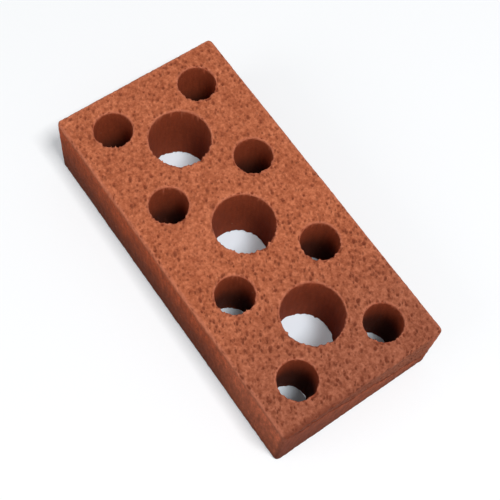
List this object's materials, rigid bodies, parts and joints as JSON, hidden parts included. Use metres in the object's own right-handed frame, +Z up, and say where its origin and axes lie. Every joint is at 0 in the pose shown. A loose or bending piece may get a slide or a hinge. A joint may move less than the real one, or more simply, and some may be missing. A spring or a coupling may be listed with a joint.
{
  "type": "clay brick",
  "caption": "Red-brown facing brick of fired clay with round holes from bed to bed, laid in mortar to make a wall.",
  "frame": {"origin": "middle of the lower bed", "axes": "+X along the length, +Y across the width, +Z up, along the holes"},
  "size_m": [0.24, 0.115, 0.053],
  "materials": {
    "fired_clay": "unglazed fired clay: wire-cut open grain on the beds, smooth and matt on the sides"
  },
  "bodies": {
    "root": {"clay_brick": "fired_clay"}
  },
  "joints": []
}
